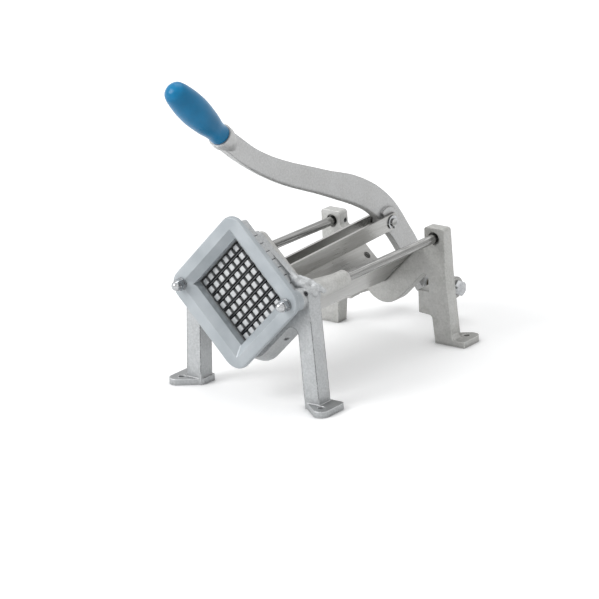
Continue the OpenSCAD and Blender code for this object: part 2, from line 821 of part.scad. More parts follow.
module pusher_carriage() {
    color("#b9b9b5")
    difference() {
        union() {
            slab(carriage_y, carriage_back) diamond(block_half, 2, carriage_r);
            // Shoe that slides in the trough
            intersection() {
                slab(carriage_back - 1, shoe_end) difference() {
                    diamond(block_half, 2);
                    diamond(block_half - shoe_t);
                }
                plank(-half, half) polygon([
                    [carriage_back - 1, -2 * half],
                    [shoe_end, -2 * half],
                    [shoe_end, -shoe_drop - 6],
                    [carriage_back - 1, -shoe_drop]]);
            }
            // Cheeks either side of the links
            pair() intersection() {
                plank(cheek_x, cheek_x + cheek_t) polygon(rounded([
                    [carriage_back - 1, -2 * half, 0],
                    [shoe_end, -2 * half, 0],
                    [pusher_pin_at[0] + cheek_r, -cheek_r, 4],
                    [pusher_pin_at[0] + cheek_r, cheek_r, cheek_r - 0.5],
                    [carriage_back + 4, cheek_r, 3],
                    [carriage_back - 1, cheek_r + 8, 0]]));
                slab(carriage_back - 1, shoe_end) diamond(block_half);
            }
            // Ears on the guide rods, each on a web from the plate
            pair() {
                rod_y(ear_y, ear_y + ear_len - ear_round, ear_r, rod_x);
                translate([rod_x, ear_y + ear_len - ear_round, axis_h]) rotate([-90, 0, 0])
                    cylinder(h = ear_round, r1 = ear_r, r2 = ear_r - ear_round);
                translate([0, 0, axis_h - web_half]) linear_extrude(2 * web_half)
                    polygon(rounded([
                        [web_x, web_front, 0],
                        [rod_x, web_front, 0],
                        [rod_x, ear_y + ear_len - 4, 0],
                        [rod_x - ear_r + 1, ear_y + ear_len - 4, 6],
                        [block_half * root2 - 8, carriage_back + 5, 10],
                        [web_x, carriage_back, 0]]));
            }
        }
        pair() {
            rod_y(ear_y - 1, ear_y + ear_len + 1, bush_d / 2, rod_x);
            rod_x_axis(cheek_x - 1, cheek_x + cheek_t + 1, pusher_pin_d / 2, pusher_pin_at);
        }
        at_block_screws() translate([0, carriage_back + 1, 0]) rotate([90, 0, 0])
            cylinder(h = carriage_t + 2, r = block_screw_d / 2 + eps);
    }
}

module block_screws() {
    color("dimgray")
    at_block_screws() translate([0, carriage_back, 0]) {
        rotate([90, 0, 0]) cylinder(h = block_screw_len, r = block_screw_d / 2);
        rotate([-90, 0, 0]) difference() {
            cylinder(h = block_screw_d, r = block_screw_d * 0.85);
            translate([0, 0, block_screw_d / 2])
                cylinder(h = block_screw_d, r = block_screw_d / 2, $fn = 6);
        }
    }
}

module slide_bushes() {
    color("ivory")
    pair() for (y = [ear_y, ear_y + ear_len - bush_len]) difference() {
        rod_y(y, y + bush_len, bush_d / 2, rod_x);
        rod_y(y - 1, y + bush_len + 1, rod_d / 2 + fit, rod_x);
    }
}

// The pusher's pin is parted at the cheeks: its head and its nut end stay in them
module pusher_pin_head() {
    color("silver") {
        rod_x_axis(cheek_x, cheek_x + cheek_t, pusher_pin_d / 2, pusher_pin_at);
        translate([cheek_x + cheek_t, pusher_pin_at[0], axis_h]) hex_head(pusher_pin_d * 1.6, pin_head_h);
    }
}

module pusher_pin_nut() {
    color("silver") mirror([1, 0, 0]) {
        rod_x_axis(cheek_x, cheek_x + cheek_t + pin_head_h + 2, pusher_pin_d / 2, pusher_pin_at);
        translate([cheek_x + cheek_t, pusher_pin_at[0], axis_h]) hex_head(pusher_pin_d * 1.6, pin_head_h);
    }
}

module pusher_pin() {
    color("silver") rod_x_axis(play - cheek_x, cheek_x - play, pusher_pin_d / 2, pusher_pin_at);
}

module link_spacer() {
    color("silver")
    difference() {
        rod_x_axis(-link_x, link_x, pusher_pin_d * 0.85, pusher_pin_at);
        rod_x_axis(-link_x - 1, link_x + 1, pusher_pin_d / 2, pusher_pin_at);
    }
}

module link() {
    difference() {
        translate([link_x, pusher_pin_at[0], axis_h]) rotate([link_tilt, 0, 0]) rotate([90, 0, 90])
            linear_extrude(link_t) polygon(rounded([
                [-link_w / 2, -link_w / 2, link_w / 2 - 0.1],
                [link_len + link_end, -link_w / 2, 2],
                [link_len + link_end, link_w / 2, 2],
                [-link_w / 2, link_w / 2, link_w / 2 - 0.1]]));
        rod_x_axis(0, through, pusher_pin_d / 2 + eps, pusher_pin_at);
        rod_x_axis(0, through, link_pin_d / 2 + fit, link_pin_at);
    }
}

module link_right() {
    color("gainsboro") link();
}

module link_left() {
    color("gainsboro") mirror([1, 0, 0]) link();
}

module lever_arm() {
    color("#b7b7b3")
    difference() {
        union() {
            difference() {
                plank(-lever_t / 2, lever_t / 2) translate(pivot)
                    polygon(widened(curve_through(spine, spine_steps)));
                along_grip() translate([-lever_t, -2 * collar_r, 0])
                    cube([2 * lever_t, 4 * collar_r, 2 * collar_r]);
            }
            rod_x_axis(-hub_half, hub_half, hub_r, pivot);
            rod_x_axis(-pin_boss_half, pin_boss_half, pin_boss_r, link_pin_at);
            along_grip() {
                translate([0, 0, -collar_len - collar_taper])
                    cylinder(h = collar_taper, r1 = lever_t / 2, r2 = collar_r);
                translate([0, 0, -collar_len]) cylinder(h = collar_len, r = collar_r);
                translate([0, 0, -collar_len])
                    cylinder(h = collar_len + grip_len * tang_share, r = tang_d / 2);
            }
        }
        rod_x_axis(-through, through, pivot_bush_d / 2, pivot);
        rod_x_axis(-through, through, link_pin_d / 2, link_pin_at);
    }
}

module pivot_bush() {
    color("#b08d57")
    difference() {
        rod_x_axis(-hub_half, hub_half, pivot_bush_d / 2, pivot);
        rod_x_axis(-hub_half - 1, hub_half + 1, pivot_d / 2 + fit, pivot);
    }
}

module link_pin() {
    color("silver")
    difference() {
        rod_x_axis(-pin_half, pin_half, link_pin_d / 2, link_pin_at);
        pair() difference() {
            rod_x_axis(clip_x - 0.1, clip_x + clip_t + 0.1, link_pin_d, link_pin_at);
            rod_x_axis(clip_x - 1, clip_x + clip_t + 1, groove_r, link_pin_at);
        }
    }
}

module pin_clips() {
    color("dimgray")
    pair() difference() {
        rod_x_axis(clip_x, clip_x + clip_t, link_pin_d * 0.9, link_pin_at);
        rod_x_axis(clip_x - 1, clip_x + clip_t + 1, groove_r, link_pin_at);
        plank(clip_x - 1, clip_x + clip_t + 1) translate(link_pin_at) rotate(-100)
            translate([0, -groove_r * 0.9]) square([2 * link_pin_d, 2 * groove_r * 0.9]);
    }
}

// Children with +Z along the grip, from the lever's end
module along_grip() {
    translate([0, pivot[0] + grip_at[0], axis_h + pivot[1] + grip_at[1]])
        rotate([grip_tilt - 90, 0, 0]) children();
}

module grip() {
    color("#1d5b8c")
    along_grip() difference() {
        rotate_extrude() polygon(concat([[0, 0]], grip_profile, [[0, grip_len]]));
        translate([0, 0, -1]) cylinder(h = grip_len * tang_share + 1, r = tang_d / 2);
    }
}

front_frame();
front_cover();
cover_washers();
cover_nuts();
front_blades();
rear_blades();
guide_rod_right();
guide_rod_left();
rod_set_screws();
rear_frame();
trough();
trough_screws();
pivot_bolt();
pivot_nut();
pusher_block();
pusher_carriage();
block_screws();
slide_bushes();
pusher_pin_head();
pusher_pin_nut();
link_right();
link_left();
pusher_pin();
link_spacer();
lever_arm();
pivot_bush();
link_pin();
pin_clips();
grip();
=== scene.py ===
"""Looks of the french fry cutter: finishes, softened edges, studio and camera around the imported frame."""

import json
import math

import bmesh
import bpy
from mathutils import Matrix, Vector, noise


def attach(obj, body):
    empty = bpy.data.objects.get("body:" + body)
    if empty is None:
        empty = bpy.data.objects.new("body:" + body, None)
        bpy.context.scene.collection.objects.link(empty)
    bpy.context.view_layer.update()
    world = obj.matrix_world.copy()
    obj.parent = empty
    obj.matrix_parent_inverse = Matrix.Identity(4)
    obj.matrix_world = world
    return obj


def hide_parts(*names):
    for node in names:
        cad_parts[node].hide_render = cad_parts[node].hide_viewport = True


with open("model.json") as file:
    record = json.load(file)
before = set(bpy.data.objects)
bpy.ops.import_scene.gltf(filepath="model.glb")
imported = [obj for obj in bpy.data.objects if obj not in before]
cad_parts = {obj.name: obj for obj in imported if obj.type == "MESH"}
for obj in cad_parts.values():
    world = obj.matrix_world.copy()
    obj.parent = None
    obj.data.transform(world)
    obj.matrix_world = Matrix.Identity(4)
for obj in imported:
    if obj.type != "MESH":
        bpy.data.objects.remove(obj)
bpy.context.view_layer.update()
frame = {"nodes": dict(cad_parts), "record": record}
NODES = frame["nodes"]
BEHAVIOUR = frame["record"]["behaviour"]
BODY_OF = {node: body for body, members in BEHAVIOUR["bodies"].items() for node in members}
SLOTS = {sub["node"]: sub["material_slot"] for sub in frame["record"]["subparts"]}
MM = 0.001


def placed(name, data):
    """A new object in the scene for a mesh, lamp or camera."""
    obj = bpy.data.objects.new(name, data)
    bpy.context.scene.collection.objects.link(obj)
    return obj


def as_mesh(bm, name):
    mesh = bpy.data.meshes.new(name)
    bm.to_mesh(mesh)
    bm.free()
    return mesh


# ---------------------------------------------------------------- node helpers
class Tree:
    """Short ways to add and join the nodes of a material or of the world."""

    def __init__(self, tree):
        self.tree = tree

    def add(self, kind, **values):
        node = self.tree.nodes.new(kind)
        for key, value in values.items():
            setattr(node, key, value)
        return node

    def join(self, a, b):
        self.tree.links.new(a, b)

    def feed(self, socket, value):
        """Joins a socket, or sets a plain value."""
        if isinstance(value, bpy.types.NodeSocket):
            self.join(value, socket)
        else:
            socket.default_value = value

    def span(self, value, a, b, lo=0.0, hi=1.0):
        """lo where value is a or less, hi where it is b or more, and evenly between."""
        node = self.add("ShaderNodeMapRange")
        self.join(value, node.inputs["Value"])
        for key, number in zip(("From Min", "From Max", "To Min", "To Max"), (a, b, lo, hi)):
            node.inputs[key].default_value = number
        return node.outputs["Result"]

    def maths(self, operation, a, b):
        node = self.add("ShaderNodeMath", operation=operation)
        self.feed(node.inputs[0], a)
        self.feed(node.inputs[1], b)
        return node.outputs[0]

    def times(self, a, b):
        return self.maths("MULTIPLY", a, b)

    def white_rays(self):
        """1 for the rays that see a white background, 0 for those that light the object."""
        path = self.add("ShaderNodeLightPath")
        seen = self.maths("MAXIMUM", path.outputs["Is Camera Ray"], path.outputs["Is Glossy Ray"])
        return self.maths("MAXIMUM", seen, path.outputs["Is Transmission Ray"])


class Material(Tree):
    """A material drawn on the object's own coordinates, in metres."""

    def __init__(self, name):
        self.mat = bpy.data.materials.new(name)
        self.mat.use_nodes = True
        super().__init__(self.mat.node_tree)
        self.shader = self.tree.nodes["Principled BSDF"]
        self.out = self.tree.nodes["Material Output"]
        self.place = self.add("ShaderNodeTexCoord").outputs["Object"]

    def stretched(self, scale):
        node = self.add("ShaderNodeMapping")
        self.join(self.place, node.inputs["Vector"])
        node.inputs["Scale"].default_value = scale
        return node.outputs["Vector"]

    def pattern(self, scale, detail, rough, stretch=None):
        """Soft random tone, which repeats about scale times in a metre."""
        node = self.add("ShaderNodeTexNoise")
        self.join(self.stretched(stretch) if stretch else self.place, node.inputs["Vector"])
        node.inputs["Scale"].default_value = scale
        node.inputs["Detail"].default_value = detail
        node.inputs["Roughness"].default_value = rough
        return node.outputs["Fac"]

    def cells(self, scale):
        """Distance from the middle of the nearest of many random cells."""
        node = self.add("ShaderNodeTexVoronoi")
        self.join(self.place, node.inputs["Vector"])
        node.inputs["Scale"].default_value = scale
        return node.outputs["Distance"]

    def blend(self, share, a, b):
        """Colour a at share 0, colour b at share 1."""
        node = self.add("ShaderNodeMix", data_type="RGBA")
        self.join(share, node.inputs["Factor"])
        for key, value in (("A", a), ("B", b)):
            socket = next(s for s in node.inputs if s.name == key and s.type == "RGBA")
            self.feed(socket, value if isinstance(value, bpy.types.NodeSocket) else (*value, 1))
        return next(s for s in node.outputs if s.type == "RGBA")

    def edges(self, radius, gain=3.0):
        """1 along convex and concave edges within radius, 0 on the flats."""
        bevel = self.add("ShaderNodeBevel", samples=4)
        bevel.inputs["Radius"].default_value = radius
        plain = self.add("ShaderNodeNewGeometry")
        dot = self.add("ShaderNodeVectorMath", operation="DOT_PRODUCT")
        self.join(bevel.outputs["Normal"], dot.inputs[0])
        self.join(plain.outputs["Normal"], dot.inputs[1])
        return self.span(dot.outputs["Value"], 1.0, 1.0 - 1.0 / gain)

    def openness(self, reach, samples):
        """Near 1 on open surfaces, lower where something else is within reach."""
        node = self.add("ShaderNodeAmbientOcclusion", samples=samples)
        node.inputs["Distance"].default_value = reach
        return node.outputs["AO"]

    def corners(self, reach, share):
        """Up to share in inside corners and narrow gaps within reach, 0 in the open."""
        return self.span(self.openness(reach, 12), 0.35, 0.95, share, 0.0)

    def height(self):
        node = self.add("ShaderNodeSeparateXYZ")
        self.join(self.place, node.inputs[0])
        return node.outputs["Z"]

    def upward(self):
        """1 on faces that look up, 0 on steep ones."""
        node = self.add("ShaderNodeSeparateXYZ")
        self.join(self.add("ShaderNodeNewGeometry").outputs["Normal"], node.inputs[0])
        return self.span(node.outputs["Z"], 0.7, 0.95)

    def rounded(self, radius):
        """Normals that turn round the edges within radius."""
        bevel = self.add("ShaderNodeBevel", samples=6)
        bevel.inputs["Radius"].default_value = radius
        return bevel.outputs["Normal"]

    def bump(self, height, strength, distance, under=None):
        node = self.add("ShaderNodeBump")
        node.inputs["Strength"].default_value = strength
        node.inputs["Distance"].default_value = distance
        self.join(height, node.inputs["Height"])
        if under is not None:
            self.join(under, node.inputs["Normal"])
        return node.outputs["Normal"]

    def finish(self, colour, metallic, roughness, normal):
        self.join(colour, self.shader.inputs["Base Color"])
        self.feed(self.shader.inputs["Metallic"], metallic)
        self.join(roughness, self.shader.inputs["Roughness"])
        self.join(normal, self.shader.inputs["Normal"])
        return self.mat


def toned(colour, share):
    return tuple(channel * share for channel in colour)


# ---------------------------------------------------------------- kinds of finish
PAD_TOP, PAD_FADE = 10 * MM, 14 * MM  # the foot pads' look is full up to the first height, gone at the second
LEG_FADE, LEG_TOP = 90 * MM, 98 * MM  # the casting seam on the legs' corners fades out between these heights


def cast_metal(name, base, dark, light, rough=(0.42, 0.54), grain=0.3, depth=0.55, seam=False):
    """Sand cast aluminium, tumbled: pebbly skin, cloudy tone, pits, painted shade in corners, and edges with
    a painted highlight and dark nicks.
    """
    g = Material(name)
    clouds = g.pattern(24.0, 3.0, 0.5)
    blotches = g.pattern(110.0, 4.0, 0.6)
    pebbles = g.pattern(520.0, 3.0, 0.55)
    fine = g.pattern(1900.0, 2.0, 0.5)
    sparse = g.span(g.pattern(140.0, 2.0, 0.5), 0.52, 0.62)
    pits = g.times(g.span(g.cells(300.0), 0.0, 0.14, 1.0, 0.0), sparse)
    nicks = g.times(g.edges(1.3 * MM, 2.0), g.span(g.pattern(560.0, 3.0, 0.6), 0.5, 0.57))
    tone = g.blend(g.span(clouds, 0.35, 0.65, 0.0, 0.6), base, dark)
    tone = g.blend(g.span(blotches, 0.45, 0.75, 0.0, 0.5), tone, dark)
    tone = g.blend(g.span(pebbles, 0.35, 0.7, 0.0, 0.45), tone, light)
    # painted shade: darker in inside corners, narrow gaps and holes, as strong as depth says
    tone = g.blend(g.corners(4 * MM, depth), tone, toned(dark, 0.4))
    # painted highlight along every edge, concave ones too
    tone = g.blend(g.times(g.edges(0.9 * MM), 0.55), tone, light)
    tone = g.blend(g.times(nicks, 0.75), tone, toned(dark, 0.3))
    tone = g.blend(g.times(pits, 0.7), tone, toned(dark, 0.35))

    # foot pads: darker on their upward faces, lighter along their edges
    pad = g.span(g.height(), PAD_FADE, PAD_TOP)
    pad_top_darkening = g.times(pad, g.span(g.upward(), 0.0, 1.0, 0.12, 0.55))
    tone = g.blend(pad_top_darkening, tone, toned(dark, 0.4))
    tone = g.blend(g.times(pad, g.edges(2.2 * MM, 4.0)), tone, light)
    if seam:
        gaps = g.span(g.pattern(230.0, 3.0, 0.6), 0.35, 0.5, 0.35, 1.0)
        line = g.times(g.edges(1.9 * MM, 9.0), gaps)
        legs = g.times(g.span(g.height(), PAD_TOP, PAD_FADE), g.span(g.height(), LEG_TOP, LEG_FADE))
        tone = g.blend(g.times(line, legs), tone, toned(dark, 0.3))

    skin = g.bump(clouds, 0.25, 0.5 * MM, g.rounded(1.8 * MM))
    skin = g.bump(blotches, 0.2, 0.35 * MM, skin)
    skin = g.bump(pebbles, grain, 0.22 * MM, skin)
    skin = g.bump(fine, grain * 0.6, 0.06 * MM, skin)
    skin = g.bump(g.times(pits, -1.0), 0.6, 0.25 * MM, skin)
    return g.finish(tone, 0.6, g.span(pebbles, 0.3, 0.7, *rough), skin)


def enamel(name, base, dark, light):
    """Grey enamel over a rough casting: satin, uneven under the film, chipped bright at the edges, with
    painted shade in corners and a painted highlight along every edge.
    """
    g = Material(name)
    clouds = g.pattern(34.0, 3.0, 0.5)
    lumps = g.pattern(210.0, 3.0, 0.5)
    orange_peel = g.pattern(900.0, 2.0, 0.5)
    chips = g.span(g.pattern(420.0, 6.0, 0.7), 0.56, 0.62)
    worn = g.times(g.edges(1.1 * MM), chips)
    tone = g.blend(g.span(clouds, 0.35, 0.65), dark, base)
    # painted shade in inside corners and narrow gaps
    tone = g.blend(g.corners(5 * MM, 0.4), tone, toned(dark, 0.5))
    # painted highlight along every edge
    tone = g.blend(g.times(g.edges(0.7 * MM), 0.8), tone, light)
    tone = g.blend(worn, tone, light)
    roughness = g.span(lumps, 0.3, 0.7, 0.36, 0.46)
    skin = g.bump(clouds, 0.2, 0.5 * MM, g.rounded(0.7 * MM))
    skin = g.bump(lumps, 0.16, 0.2 * MM, skin)
    skin = g.bump(orange_peel, 0.15, 0.06 * MM, skin)
    return g.finish(tone, g.span(worn, 0.0, 1.0, 0.2, 0.9), roughness, skin)


def drawn_steel(name, base, dark, rough, along, lines=0.05, streaks=0.5):
    """Bright steel with fine lines drawn along one axis (0, 1 or 2) and faint smears across them."""
    g = Material(name)
    stretch = [1.0, 1.0, 1.0]
    stretch[along] = 0.02
    brush = g.pattern(2600.0, 3.0, 0.6, stretch)
    bands = g.pattern(240.0, 2.0, 0.5, stretch)
    smear = g.pattern(28.0, 4.0, 0.6)
    tone = g.blend(g.span(brush, 0.3, 0.7), dark, base)
    tone = g.blend(g.span(bands, 0.42, 0.62, 0.0, streaks), tone, dark)
    # painted shade in inside corners and narrow gaps
    tone = g.blend(g.corners(5 * MM, 0.8), tone, toned(dark, 0.35))
    roughness = g.maths("ADD", g.span(smear, 0.3, 0.7, *rough), g.span(brush, 0.3, 0.7, -0.02, 0.05))
    skin = g.bump(brush, lines, 0.03 * MM, g.bump(smear, 0.06, 0.3 * MM))
    return g.finish(tone, 1.0, roughness, skin)


def turned(name, base, dark, rough, metallic=1.0):
    """Plated or turned hardware: even, with faint marks and painted shade in corners."""
    g = Material(name)
    marks = g.pattern(420.0, 5.0, 0.65)
    tone = g.blend(g.span(marks, 0.42, 0.7), base, dark)
    # painted shade in inside corners and narrow gaps
    tone = g.blend(g.corners(2 * MM, 0.7), tone, toned(dark, 0.35))
    tone = g.blend(g.times(g.edges(0.5 * MM), 0.3), tone, base)
    return g.finish(tone, metallic, g.span(marks, 0.3, 0.7, *rough), g.bump(marks, 0.06, 0.05 * MM))


def dipped_vinyl(name, base, dark):
    """Glossy dipped grip: deep blue with a faint mottling and handling marks."""
    g = Material(name)
    mottle = g.pattern(45.0, 4.0, 0.55)
    rub = g.pattern(260.0, 5.0, 0.65)
    tone = g.blend(g.span(mottle, 0.35, 0.65), dark, base)
    g.shader.inputs["Specular IOR Level"].default_value = 0.28
    return g.finish(tone, 0.0, g.span(rub, 0.35, 0.75, 0.28, 0.38), g.bump(mottle, 0.08, 0.25 * MM))


# ---------------------------------------------------------------- the part's finishes
# cast_metal's depth sets how dark its painted shade in corners is
LOOKS = {  # name: kind of finish and its settings, with base, dark and light as colours
    "casting": (cast_metal, {
        "base": (0.5, 0.5, 0.49), "dark": (0.35, 0.35, 0.33), "light": (0.68, 0.68, 0.66),
    }),
    "front_casting": (cast_metal, {
        "base": (0.455, 0.47, 0.478), "dark": (0.35, 0.36, 0.365), "light": (0.7, 0.71, 0.72),
        "depth": 0.6, "seam": True,
    }),
    "lever_casting": (cast_metal, {
        "base": (0.475, 0.48, 0.48), "dark": (0.4, 0.4, 0.395), "light": (0.68, 0.68, 0.68),
        "rough": (0.36, 0.46), "grain": 0.22,
    }),
    "pusher_casting": (cast_metal, {
        "base": (0.56, 0.57, 0.58), "dark": (0.47, 0.48, 0.49), "light": (0.7, 0.71, 0.71), "depth": 0.85,
    }),
    "painted_casting": (enamel, {
        "base": (0.45, 0.485, 0.51), "dark": (0.37, 0.405, 0.43), "light": (0.8, 0.81, 0.82),
    }),
    "sheet_steel": (drawn_steel, {
        "base": (0.51, 0.512, 0.505), "dark": (0.38, 0.375, 0.36), "rough": (0.24, 0.34), "along": 1,
    }),
    "polished_steel": (drawn_steel, {
        "base": (0.66, 0.66, 0.65), "dark": (0.2, 0.2, 0.195), "rough": (0.12, 0.2), "along": 1,
        "lines": 0.04, "streaks": 0.75,
    }),
    "blade_steel": (drawn_steel, {
        "base": (0.2, 0.205, 0.21), "dark": (0.12, 0.125, 0.13), "rough": (0.25, 0.35), "along": 0,
    }),
    "plated_steel": (turned, {
        "base": (0.5, 0.51, 0.52), "dark": (0.33, 0.335, 0.35), "rough": (0.14, 0.24),
    }),
    "screw_steel": (turned, {
        "base": (0.8, 0.8, 0.8), "dark": (0.6, 0.6, 0.6), "rough": (0.25, 0.35), "metallic": 0.3,
    }),
    "dark_steel": (turned, {
        "base": (0.1, 0.1, 0.105), "dark": (0.05, 0.05, 0.053), "rough": (0.35, 0.5), "metallic": 0.8,
    }),
    "bronze": (turned, {
        "base": (0.36, 0.33, 0.27), "dark": (0.26, 0.24, 0.19), "rough": (0.3, 0.45),
    }),
    "bush_plastic": (turned, {
        "base": (0.7, 0.68, 0.62), "dark": (0.62, 0.6, 0.55), "rough": (0.4, 0.5), "metallic": 0.0,
    }),
    "grip_plastic": (dipped_vinyl, {"base": (0.003, 0.19, 0.4), "dark": (0.002, 0.155, 0.33)}),
}
MATERIALS = {name: kind(name, **settings) for name, (kind, settings) in LOOKS.items()}
OWN_LOOK = {  # nodes whose look isn't their slot's
    "front_frame": "front_casting",
    "pusher_carriage": "casting",
    "pin_clips": "plated_steel",
    "trough_screws": "screw_steel",
}

# ---------------------------------------------------------------- shapes past the solids, in mm
JOINT_AT = {
    joint["name"]: Vector([number / MM for number in joint["pos_m"]])
    for joint in BEHAVIOUR["joints"]
    if "pos_m" in joint
}
PIVOT = JOINT_AT["lever_pivot"]
LINK_PIN = JOINT_AT["link_pivot"]
GRIP_FOOT = PIVOT + Vector((0, -317.4, 234))
GRIP_TILT = math.radians(137.6)
GRIP_AXIS = Vector((0, math.cos(GRIP_TILT), math.sin(GRIP_TILT)))

# how far the cast arm bulges past the plain plank: place along y, outer side, inner side
ARM_SWELL = [
    [-150, 1.2, 1.2], [-120, 1.4, 1.6], [-98, 0.8, 1.8], [-75, 1.6, 1.2], [-50, 2.9, 0.5], [-30, 3.5, 0.3],
    [-10, 3.3, 0.3], [12, 2.8, 0.6], [32, 2.7, 1.6], [48, 2.3, 1.6], [60, 1.6, 0.8], [74, 2.0, -0.8],
    [90, 3.0, -1.2], [104, 3.4, -0.6], [118, 3.0, 0.0], [130, 1.6, 0.0], [142, 0.0, 0.0], [220, 0.0, 0.0],
]
PIVOT_CLEAR, PIN_CLEAR = 24, 11  # within these of the pivot and the link pin the arm stays plain
COLLAR_LENGTH, COLLAR_SWELL = 26.5, 1.2
COLLAR_CORE, COLLAR_FACE = 6, 10  # within these radii the collar stays plain, along it and on its end face
GRIP_SWELL = 1.3
GRIP_BORE, GRIP_BORE_END = 4.6, 75  # the bore for the arm's tang stays as it is
GRIP_LIP = 4  # length at the collar that only swells outwards

PAD_HEIGHT = 6.5
REAR_LEG_FRONT = 101
PAD_INNER = 50  # both pads lie further out than this

UNDERSIDE = (-122, 114)  # the arm's lower edges are broadly rounded from here to here
UNDERSIDE_FADE = 25
UNDERSIDE_RADIUS = 3.2
UNDERSIDE_PIN_CLEAR = 13


def from_table(rows, at, column):
    for a, b in zip(rows, rows[1:]):
        if a[0] <= at <= b[0]:
            share = (at - a[0]) / (b[0] - a[0])
            return a[column] + share * (b[column] - a[column])
    return 0.0


def from_grip(co):
    """How far along the grip's axis a place lies, and its offset from that axis."""
    along = (co - GRIP_FOOT).dot(GRIP_AXIS)
    return along, (co - GRIP_FOOT) - GRIP_AXIS * along


def lever_swell(co, vert):
    along, radial = from_grip(co)
    if along > -COLLAR_LENGTH:
        on_end_face = abs(along) <= 0.01
        swells = radial.length > (COLLAR_FACE if on_end_face else COLLAR_CORE)
        return radial.normalized() * COLLAR_SWELL if swells else None
    rims = [face.normal for face in vert.link_faces if abs(face.normal.x) < 0.05]
    near_bore = (co - PIVOT).yz.length < PIVOT_CLEAR or (co - LINK_PIN).yz.length < PIN_CLEAR
    if not rims or near_bore:
        return None
    out = sum(rims, Vector()).normalized()
    return out * from_table(ARM_SWELL, co.y, 1 if out.y + out.z > 0 else 2)


def grip_swell(co, vert):
    along, radial = from_grip(co)
    if radial.length < GRIP_BORE and along < GRIP_BORE_END:
        return None
    out = radial.normalized() if along < GRIP_LIP else vert.normal
    return out * GRIP_SWELL


def flush_feet(co, vert):
    """Takes the rear pads back to the legs' front face."""
    if co.z < PAD_HEIGHT + 0.1 and co.y < REAR_LEG_FRONT and abs(co.x) > PAD_INNER:
        return Vector((0, REAR_LEG_FRONT - co.y, 0))
    return None


def push(bm, amount):
    """Moves each vertex by amount(its place, the vertex), or leaves it where that is None."""
    moves = [(vert, amount(vert.co / MM, vert)) for vert in bm.verts]
    for vert, step in moves:
        if step is not None:
            vert.co += step * MM


def mark_underside(bm):
    """Weights for the broad rounding of the arm's lower edges, fading out at the collar and at the links."""
    weight = bm.edges.layers.float.new("bevel_weight_edge")
    for edge in bm.edges:
        if len(edge.link_faces) != 2:
            continue
        flat, rim = sorted((face.normal for face in edge.link_faces), key=lambda normal: -abs(normal.x))
        middle = (edge.verts[0].co + edge.verts[1].co) / 2 / MM
        clear = (middle - LINK_PIN).yz.length > UNDERSIDE_PIN_CLEAR
        if clear and abs(flat.x) > 0.99 and abs(rim.x) < 0.05 and rim.y + rim.z < 0:
            inside = min(middle.y - UNDERSIDE[0], UNDERSIDE[1] - middle.y)
            edge[weight] = min(max(inside / UNDERSIDE_FADE, 0), 1)


def bored(mesh, start, end, radius):
    """The mesh with a round hole cut between two places."""
    axis = Vector(end) - Vector(start)
    middle = (Vector(start) + Vector(end)) / 2
    turn = axis.to_track_quat("Z", "Y").to_matrix().to_4x4()
    bm = bmesh.new()
    bmesh.ops.create_cone(
        bm,
        cap_ends=True,
        segments=24,
        radius1=radius * MM,
        radius2=radius * MM,
        depth=axis.length * MM,
        matrix=Matrix.Translation(middle * MM) @ turn,
    )
    drill = placed("drill", as_mesh(bm, "drill"))
    blank = placed("blank", mesh)
    cut = blank.modifiers.new("cut", "BOOLEAN")
    cut.operation = "DIFFERENCE"
    cut.solver = "EXACT"
    cut.object = drill
    result = bpy.data.meshes.new_from_object(blank.evaluated_get(bpy.context.evaluated_depsgraph_get()))
    bpy.data.objects.remove(blank)
    bpy.data.meshes.remove(drill.data)
    return result


AXIS_HEIGHT = 111  # of the line along which the pusher cuts
FLANGE_Y = -109
TAPPED_FROM, TAPPED_TO = 53, 66  # the tapped hole's ends, as distances from that line
TAPPED_OFFSET = -6.4  # its place along the flange
TAPPED_RADIUS = 2.1


def flange_hole(depth):
    """A place on the tapped hole's line through the front casting's lower right flange."""
    return (
        (TAPPED_OFFSET + depth) / math.sqrt(2),
        FLANGE_Y,
        AXIS_HEIGHT + (TAPPED_OFFSET - depth) / math.sqrt(2),
    )


def add_fillets(bm, face, start, end, radius=4.6, steps=6):
    """Concave fillets between both feet's pads and the legs' outer faces."""
    into_leg, into_pad = face - 2.5, PAD_HEIGHT - 0.5
    arc = [
        (face + radius - radius * math.cos(a), PAD_HEIGHT + radius - radius * math.sin(a))
        for a in (math.pi / 2 * i / steps for i in range(steps + 1))
    ]
    outline = [(into_leg, into_pad), (into_leg, PAD_HEIGHT + radius), *arc, (face + radius, into_pad)]
    for side in (1, -1):
        ends = [[bm.verts.new(Vector((side * x, y, z)) * MM) for x, z in outline] for y in (start, end)]
        faces = [bm.faces.new(ring) for ring in ends]
        for i in range(len(outline)):
            j = (i + 1) % len(outline)
            faces.append(bm.faces.new((ends[0][i], ends[0][j], ends[1][j], ends[1][i])))
        bmesh.ops.recalc_face_normals(bm, faces=faces)


# ---------------------------------------------------------------- softened castings
BEVELS = {  # edge radius of the pieces whose real edges are rounded
    "front_frame": 1.1,
    "rear_frame": 1.1,
    "front_cover": 0.9,
    "lever_arm": 2.6,
    "pusher_carriage": 0.9,
    "pusher_block": 0.35,
    "trough": 0.3,
    "link_right": 0.35,
    "link_left": 0.35,
    "grip": 0.3,
}
SHAPING = {"lever_arm": lever_swell, "grip": grip_swell, "rear_frame": flush_feet}
FOOT_FILLETS = {  # casting: leg's outer face, from and to along the leg's depth
    "rear_frame": (83.4, 102.0, 112.5),
    "front_frame": (82.7, -117.3, -102.5),
}
BORES = {"front_frame": (flange_hole(TAPPED_FROM), flange_hole(TAPPED_TO), TAPPED_RADIUS)}
SAME_PLACE = 2e-6  # metres between corners that are welded
FLAT = math.radians(0.6)  # faces that turn less than this are joined
SHARP = math.radians(32)  # edges that turn more than this are rounded


def join_flat_faces(bm):
    bmesh.ops.dissolve_limit(bm, angle_limit=FLAT, verts=bm.verts, edges=bm.edges)


